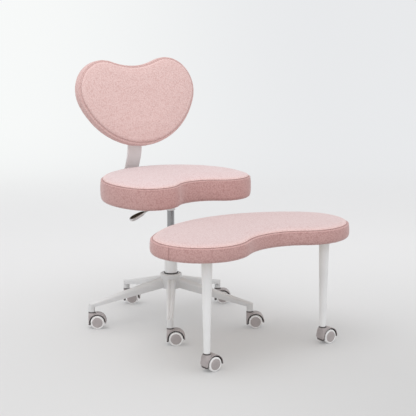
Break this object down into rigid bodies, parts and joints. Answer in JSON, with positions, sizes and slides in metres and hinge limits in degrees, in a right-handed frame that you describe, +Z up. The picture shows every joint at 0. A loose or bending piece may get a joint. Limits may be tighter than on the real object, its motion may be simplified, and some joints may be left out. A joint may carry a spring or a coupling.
{
  "type": "cross-legged office chair",
  "caption": "Armless swivel chair on a star base with casters, with a heart-shaped fleece back and a wide kidney-shaped bench on legs that swings round the column for sitting cross-legged.",
  "frame": {"origin": "on the floor, on the axis of the column", "axes": "+Z up along the column, front of the chair towards -Y, sitter's left towards +X"},
  "size_m": [0.8208, 1.0295, 1.022],
  "materials": {
    "white_metal": "satin white powder coat",
    "black_plastic": "moulded, semi-matt",
    "dark_chrome": "polished, grey",
    "steel": "zinc plated",
    "plywood": "bare birch plywood",
    "pink_fleece": "curly teddy fleece over foam",
    "grey_plastic": "moulded, warm grey",
    "wheel_plastic": "warm grey disc with a white tread"
  },
  "bodies": {
    "base": {"star_base": "white_metal", "base_caster_stems": "steel", "column_tube": "white_metal", "column_ring": "black_plastic", "guide_bush": "black_plastic", "thrust_bearing": "steel", "collar_stop_ring": "white_metal"},
    "spindle": {"piston_rod": "steel", "retaining_clip": "steel"},
    "seat": {"gas_cylinder": "dark_chrome", "seat_plate": "white_metal", "lever_pin": "steel", "seat_board": "plywood", "seat_cushion": "pink_fleece", "seat_bolts": "steel", "back_bar": "white_metal", "back_bar_bolts": "steel", "back_board": "plywood", "back_cushion": "pink_fleece", "back_bolts": "steel"},
    "lever": {"lever_rod": "steel", "lever_grip": "black_plastic"},
    "release_pin": {"release_pin": "steel"},
    "bench": {"swing_collar": "white_metal", "collar_bush": "black_plastic", "swing_arm": "white_metal", "bench_board": "plywood", "bench_cushion": "pink_fleece", "bench_leg_right": "white_metal", "bench_leg_left": "white_metal", "bench_screws": "steel", "bench_caster_stems": "steel"},
    "caster_1_fork": {"caster_1_housing": "grey_plastic", "caster_1_axle": "steel"},
    "caster_1_near": {"caster_1_wheel_near": "wheel_plastic"},
    "caster_1_far": {"caster_1_wheel_far": "wheel_plastic"},
    "caster_2_fork": {"caster_2_housing": "grey_plastic", "caster_2_axle": "steel"},
    "caster_2_near": {"caster_2_wheel_near": "wheel_plastic"},
    "caster_2_far": {"caster_2_wheel_far": "wheel_plastic"},
    "caster_3_fork": {"caster_3_housing": "grey_plastic", "caster_3_axle": "steel"},
    "caster_3_near": {"caster_3_wheel_near": "wheel_plastic"},
    "caster_3_far": {"caster_3_wheel_far": "wheel_plastic"},
    "caster_4_fork": {"caster_4_housing": "grey_plastic", "caster_4_axle": "steel"},
    "caster_4_near": {"caster_4_wheel_near": "wheel_plastic"},
    "caster_4_far": {"caster_4_wheel_far": "wheel_plastic"},
    "caster_5_fork": {"caster_5_housing": "grey_plastic", "caster_5_axle": "steel"},
    "caster_5_near": {"caster_5_wheel_near": "wheel_plastic"},
    "caster_5_far": {"caster_5_wheel_far": "wheel_plastic"},
    "bench_caster_right_fork": {"bench_caster_right_housing": "grey_plastic", "bench_caster_right_axle": "steel"},
    "bench_caster_right_near": {"bench_caster_right_wheel_near": "wheel_plastic"},
    "bench_caster_right_far": {"bench_caster_right_wheel_far": "wheel_plastic"},
    "bench_caster_left_fork": {"bench_caster_left_housing": "grey_plastic", "bench_caster_left_axle": "steel"},
    "bench_caster_left_near": {"bench_caster_left_wheel_near": "wheel_plastic"},
    "bench_caster_left_far": {"bench_caster_left_wheel_far": "wheel_plastic"}
  },
  "joints": [
    {"name": "seat_swivel", "type": "hinge", "parent": "base", "child": "spindle", "pos_m": [0, 0, 0.2], "axis": [0, 0, 1], "continuous": true},
    {"name": "seat_lift", "type": "slide", "parent": "spindle", "child": "seat", "axis": [0, 0, 1], "range_m": [-0.025, 0.075]},
    {"name": "lever_lift", "type": "hinge", "parent": "seat", "child": "lever", "pos_m": [-0.033, 0, 0.482], "axis": [0, 1, 0], "range_deg": [0, 5], "stiffness_Nm_per_rad": 2, "springref_deg": -2.86},
    {"name": "pin_press", "type": "slide", "parent": "seat", "child": "release_pin", "axis": [0, 0, -1], "range_m": [0, 0.0036]},
    {"name": "bench_swing", "type": "hinge", "parent": "base", "child": "bench", "pos_m": [0, 0, 0.33], "axis": [0, 0, 1], "continuous": true},
    {"name": "caster_1_swivel", "type": "hinge", "parent": "base", "child": "caster_1_fork", "pos_m": [-0.19108, -0.25918, 0.066], "axis": [0, 0, 1], "continuous": true},
    {"name": "caster_1_near_roll", "type": "hinge", "parent": "caster_1_fork", "child": "caster_1_near", "pos_m": [-0.17317, -0.27195, 0.0265], "axis": [0.5807, 0.8141, 0], "continuous": true},
    {"name": "caster_1_far_roll", "type": "hinge", "parent": "caster_1_fork", "child": "caster_1_far", "pos_m": [-0.17317, -0.27195, 0.0265], "axis": [0.5807, 0.8141, 0], "continuous": true},
    {"name": "caster_2_swivel", "type": "hinge", "parent": "base", "child": "caster_2_fork", "pos_m": [0.18744, -0.26182, 0.066], "axis": [0, 0, 1], "continuous": true},
    {"name": "caster_2_near_roll", "type": "hinge", "parent": "caster_2_fork", "child": "caster_2_near", "pos_m": [0.20535, -0.27459, 0.0265], "axis": [0.5807, 0.8141, 0], "continuous": true},
    {"name": "caster_2_far_roll", "type": "hinge", "parent": "caster_2_fork", "child": "caster_2_far", "pos_m": [0.20535, -0.27459, 0.0265], "axis": [0.5807, 0.8141, 0], "continuous": true},
    {"name": "caster_3_swivel", "type": "hinge", "parent": "base", "child": "caster_3_fork", "pos_m": [0.30693, 0.09736, 0.066], "axis": [0, 0, 1], "continuous": true},
    {"name": "caster_3_near_roll", "type": "hinge", "parent": "caster_3_fork", "child": "caster_3_near", "pos_m": [0.32484, 0.08459, 0.0265], "axis": [0.5807, 0.8141, 0], "continuous": true},
    {"name": "caster_3_far_roll", "type": "hinge", "parent": "caster_3_fork", "child": "caster_3_far", "pos_m": [0.32484, 0.08459, 0.0265], "axis": [0.5807, 0.8141, 0], "continuous": true},
    {"name": "caster_4_swivel", "type": "hinge", "parent": "base", "child": "caster_4_fork", "pos_m": [0.00225, 0.32199, 0.066], "axis": [0, 0, 1], "continuous": true},
    {"name": "caster_4_near_roll", "type": "hinge", "parent": "caster_4_fork", "child": "caster_4_near", "pos_m": [0.02016, 0.30922, 0.0265], "axis": [0.5807, 0.8141, 0], "continuous": true},
    {"name": "caster_4_far_roll", "type": "hinge", "parent": "caster_4_fork", "child": "caster_4_far", "pos_m": [0.02016, 0.30922, 0.0265], "axis": [0.5807, 0.8141, 0], "continuous": true},
    {"name": "caster_5_swivel", "type": "hinge", "parent": "base", "child": "caster_5_fork", "pos_m": [-0.30554, 0.10164, 0.066], "axis": [0, 0, 1], "continuous": true},
    {"name": "caster_5_near_roll", "type": "hinge", "parent": "caster_5_fork", "child": "caster_5_near", "pos_m": [-0.28763, 0.08886, 0.0265], "axis": [0.5807, 0.8141, 0], "continuous": true},
    {"name": "caster_5_far_roll", "type": "hinge", "parent": "caster_5_fork", "child": "caster_5_far", "pos_m": [-0.28763, 0.08886, 0.0265], "axis": [0.5807, 0.8141, 0], "continuous": true},
    {"name": "bench_caster_right_swivel", "type": "hinge", "parent": "bench", "child": "bench_caster_right_fork", "pos_m": [-0.27, -0.588, 0.066], "axis": [0, 0, 1], "continuous": true},
    {"name": "bench_caster_right_near_roll", "type": "hinge", "parent": "bench_caster_right_fork", "child": "bench_caster_right_near", "pos_m": [-0.248, -0.588, 0.0265], "axis": [0, 1, 0], "continuous": true},
    {"name": "bench_caster_right_far_roll", "type": "hinge", "parent": "bench_caster_right_fork", "child": "bench_caster_right_far", "pos_m": [-0.248, -0.588, 0.0265], "axis": [0, 1, 0], "continuous": true},
    {"name": "bench_caster_left_swivel", "type": "hinge", "parent": "bench", "child": "bench_caster_left_fork", "pos_m": [0.27, -0.588, 0.066], "axis": [0, 0, 1], "continuous": true},
    {"name": "bench_caster_left_near_roll", "type": "hinge", "parent": "bench_caster_left_fork", "child": "bench_caster_left_near", "pos_m": [0.292, -0.588, 0.0265], "axis": [0, 1, 0], "continuous": true},
    {"name": "bench_caster_left_far_roll", "type": "hinge", "parent": "bench_caster_left_fork", "child": "bench_caster_left_far", "pos_m": [0.292, -0.588, 0.0265], "axis": [0, 1, 0], "continuous": true}
  ],
  "couplings": [
    {"joint": "pin_press", "follows": "lever_lift", "m_per_rad": 0.0365}
  ]
}
